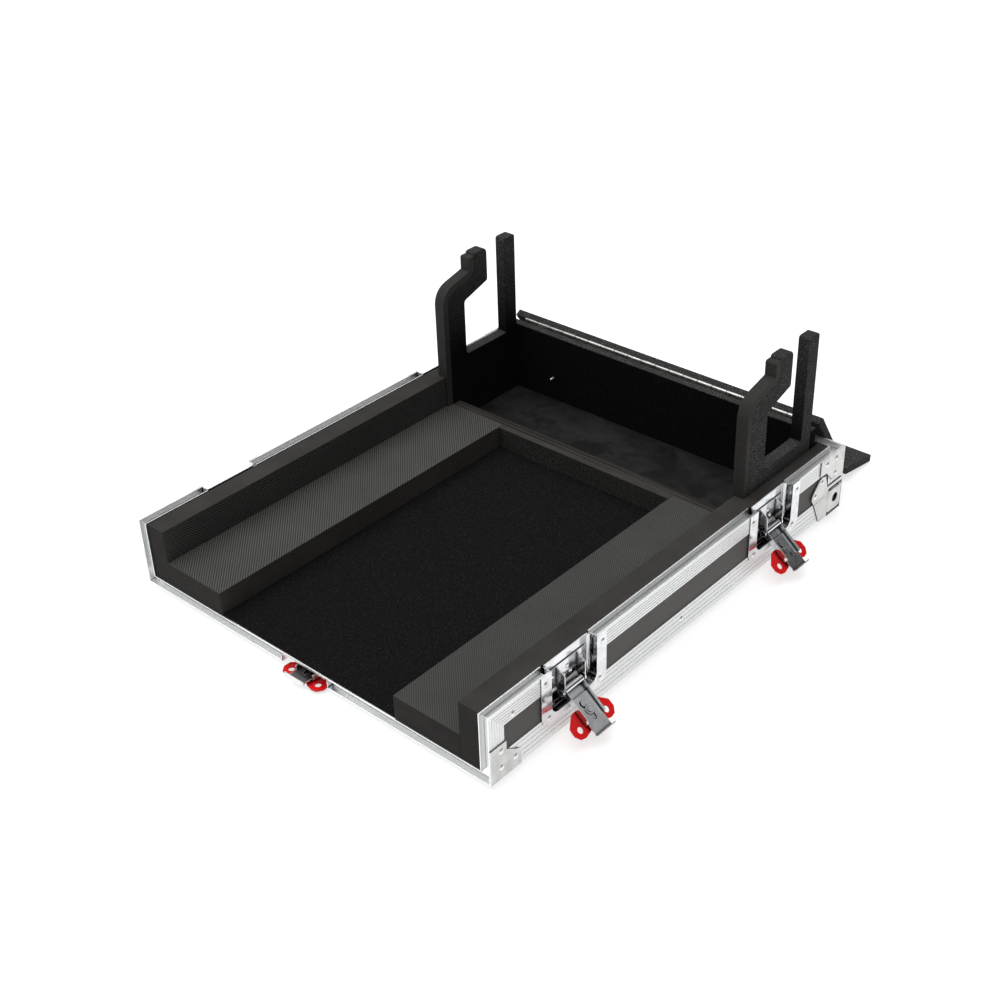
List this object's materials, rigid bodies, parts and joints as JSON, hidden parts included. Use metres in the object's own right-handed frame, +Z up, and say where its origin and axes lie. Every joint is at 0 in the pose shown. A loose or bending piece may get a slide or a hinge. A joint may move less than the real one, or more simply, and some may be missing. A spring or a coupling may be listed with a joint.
{
  "type": "mixer flight case",
  "caption": "Flight case base for a mixing console, with foam ledges, rear uprights, a fold-out rear cover and recessed butterfly latches; the lid is not part of it.",
  "frame": {"origin": "on the ground, at the middle of the case's footprint between the side walls, the front opening and the rear wall", "axes": "+X to the right as seen from the open front, +Y from the open front to the rear, +Z up"},
  "size_m": [0.677, 0.8561, 0.2723],
  "materials": {
    "laminate": "smooth dark grey laminate on plywood",
    "carpet": "black needle-punched carpet with light flecks",
    "foam": "dark grey EVA foam, embossed on its inner faces",
    "aluminium": "satin anodised extrusion with fine lines",
    "fitting": "zinc-plated pressed steel, satin",
    "latch_steel": "bright nickel-plated pressed steel",
    "red_wings": "glossy red powder coat",
    "hinge": "bright zinc-plated hinge strip",
    "rubber": "matt black rubber"
  },
  "bodies": {
    "case": {"floor_panel": "laminate", "side_panel_left": "laminate", "side_panel_right": "laminate", "rear_panel": "laminate", "edge_angle_left": "aluminium", "edge_angle_right": "aluminium", "edge_angle_rear": "aluminium", "rear_corner_angles": "aluminium", "rim_left": "aluminium", "rim_right": "aluminium", "rim_rear": "aluminium", "rim_front_posts": "aluminium", "rim_floor": "aluminium", "front_corner_brackets": "fitting", "rear_corner_brackets": "fitting", "ball_corner_left": "fitting", "ball_corner_right": "fitting", "rubber_feet": "rubber", "rivets": "fitting", "floor_carpet": "carpet", "side_foam_left": "foam", "side_foam_right": "foam", "ledge_foam_left": "foam", "ledge_foam_right": "foam", "rear_foam_strips": "foam", "partition_board": "carpet", "partition_foam": "foam", "bay_pad": "carpet", "upright_left": "carpet", "upright_right": "carpet", "upright_facing_left": "foam", "upright_facing_right": "foam", "rear_board": "carpet", "cover_hinge_fixed": "hinge", "latch_dish_right_front": "latch_steel", "latch_dish_right_rear": "latch_steel", "latch_dish_left_front": "latch_steel", "latch_dish_left_rear": "latch_steel", "latch_dish_front": "latch_steel"},
    "cover": {"cover_panel": "carpet", "cover_hinge_moving": "hinge", "fold_hinge_cover": "hinge"},
    "flap": {"flap_panel": "carpet", "fold_hinge_flap": "hinge"},
    "arm_right_front": {"latch_arm_right_front": "latch_steel"},
    "hook_right_front": {"latch_hook_right_front": "latch_steel"},
    "handle_right_front": {"latch_handle_right_front": "red_wings"},
    "arm_right_rear": {"latch_arm_right_rear": "latch_steel"},
    "hook_right_rear": {"latch_hook_right_rear": "latch_steel"},
    "handle_right_rear": {"latch_handle_right_rear": "red_wings"},
    "arm_left_front": {"latch_arm_left_front": "latch_steel"},
    "hook_left_front": {"latch_hook_left_front": "latch_steel"},
    "handle_left_front": {"latch_handle_left_front": "red_wings"},
    "arm_left_rear": {"latch_arm_left_rear": "latch_steel"},
    "hook_left_rear": {"latch_hook_left_rear": "latch_steel"},
    "handle_left_rear": {"latch_handle_left_rear": "red_wings"},
    "arm_front": {"latch_arm_front": "latch_steel"},
    "hook_front": {"latch_hook_front": "latch_steel"},
    "handle_front": {"latch_handle_front": "red_wings"}
  },
  "joints": [
    {"name": "cover_hinge", "type": "hinge", "parent": "case", "child": "cover", "pos_m": [0, 0.3295, 0.1321], "axis": [1, 0, 0], "range_deg": [0, 146.3]},
    {"name": "flap_hinge", "type": "hinge", "parent": "cover", "child": "flap", "pos_m": [0, 0.4187, 0.02329], "axis": [1, 0, 0], "range_deg": [-46.1, 42.8]},
    {"name": "arm_right_front", "type": "hinge", "parent": "case", "child": "arm_right_front", "pos_m": [0.2895, -0.21, 0.058], "axis": [0, -1, 0], "range_deg": [0, 130]},
    {"name": "handle_right_front", "type": "hinge", "parent": "arm_right_front", "child": "handle_right_front", "pos_m": [0.31478, -0.21, 0.03679], "axis": [0.6428, 0, 0.766], "range_deg": [0, 180]},
    {"name": "hook_right_front", "type": "slide", "parent": "arm_right_front", "child": "hook_right_front", "axis": [-0.766, 0, 0.6428], "range_m": [0, 0.0095]},
    {"name": "arm_right_rear", "type": "hinge", "parent": "case", "child": "arm_right_rear", "pos_m": [0.2895, 0.187, 0.058], "axis": [0, -1, 0], "range_deg": [0, 130]},
    {"name": "handle_right_rear", "type": "hinge", "parent": "arm_right_rear", "child": "handle_right_rear", "pos_m": [0.31478, 0.187, 0.03679], "axis": [0.6428, 0, 0.766], "range_deg": [0, 180]},
    {"name": "hook_right_rear", "type": "slide", "parent": "arm_right_rear", "child": "hook_right_rear", "axis": [-0.766, 0, 0.6428], "range_m": [0, 0.0095]},
    {"name": "arm_left_front", "type": "hinge", "parent": "case", "child": "arm_left_front", "pos_m": [-0.2895, -0.21, 0.058], "axis": [0, 1, 0], "range_deg": [0, 130]},
    {"name": "handle_left_front", "type": "hinge", "parent": "arm_left_front", "child": "handle_left_front", "pos_m": [-0.31478, -0.21, 0.03679], "axis": [-0.6428, 0, 0.766], "range_deg": [0, 180]},
    {"name": "hook_left_front", "type": "slide", "parent": "arm_left_front", "child": "hook_left_front", "axis": [0.766, 0, 0.6428], "range_m": [0, 0.0095]},
    {"name": "arm_left_rear", "type": "hinge", "parent": "case", "child": "arm_left_rear", "pos_m": [-0.2895, 0.187, 0.058], "axis": [0, 1, 0], "range_deg": [0, 130]},
    {"name": "handle_left_rear", "type": "hinge", "parent": "arm_left_rear", "child": "handle_left_rear", "pos_m": [-0.31478, 0.187, 0.03679], "axis": [-0.6428, 0, 0.766], "range_deg": [0, 180]},
    {"name": "hook_left_rear", "type": "slide", "parent": "arm_left_rear", "child": "hook_left_rear", "axis": [0.766, 0, 0.6428], "range_m": [0, 0.0095]},
    {"name": "arm_front", "type": "hinge", "parent": "case", "child": "arm_front", "pos_m": [0, -0.305, 0.0123], "axis": [1, 0, 0], "range_deg": [0, 130]},
    {"name": "handle_front", "type": "hinge", "parent": "arm_front", "child": "handle_front", "pos_m": [0, -0.338, 0.0123], "axis": [0, 0, 1], "range_deg": [0, 180]},
    {"name": "hook_front", "type": "slide", "parent": "arm_front", "child": "hook_front", "axis": [0, 1, 0], "range_m": [0, 0.0095]}
  ],
  "couplings": [
    {"joint": "hook_right_front", "follows": "handle_right_front", "m_per_rad": 0.00302},
    {"joint": "hook_right_rear", "follows": "handle_right_rear", "m_per_rad": 0.00302},
    {"joint": "hook_left_front", "follows": "handle_left_front", "m_per_rad": 0.00302},
    {"joint": "hook_left_rear", "follows": "handle_left_rear", "m_per_rad": 0.00302},
    {"joint": "hook_front", "follows": "handle_front", "m_per_rad": 0.00302}
  ]
}
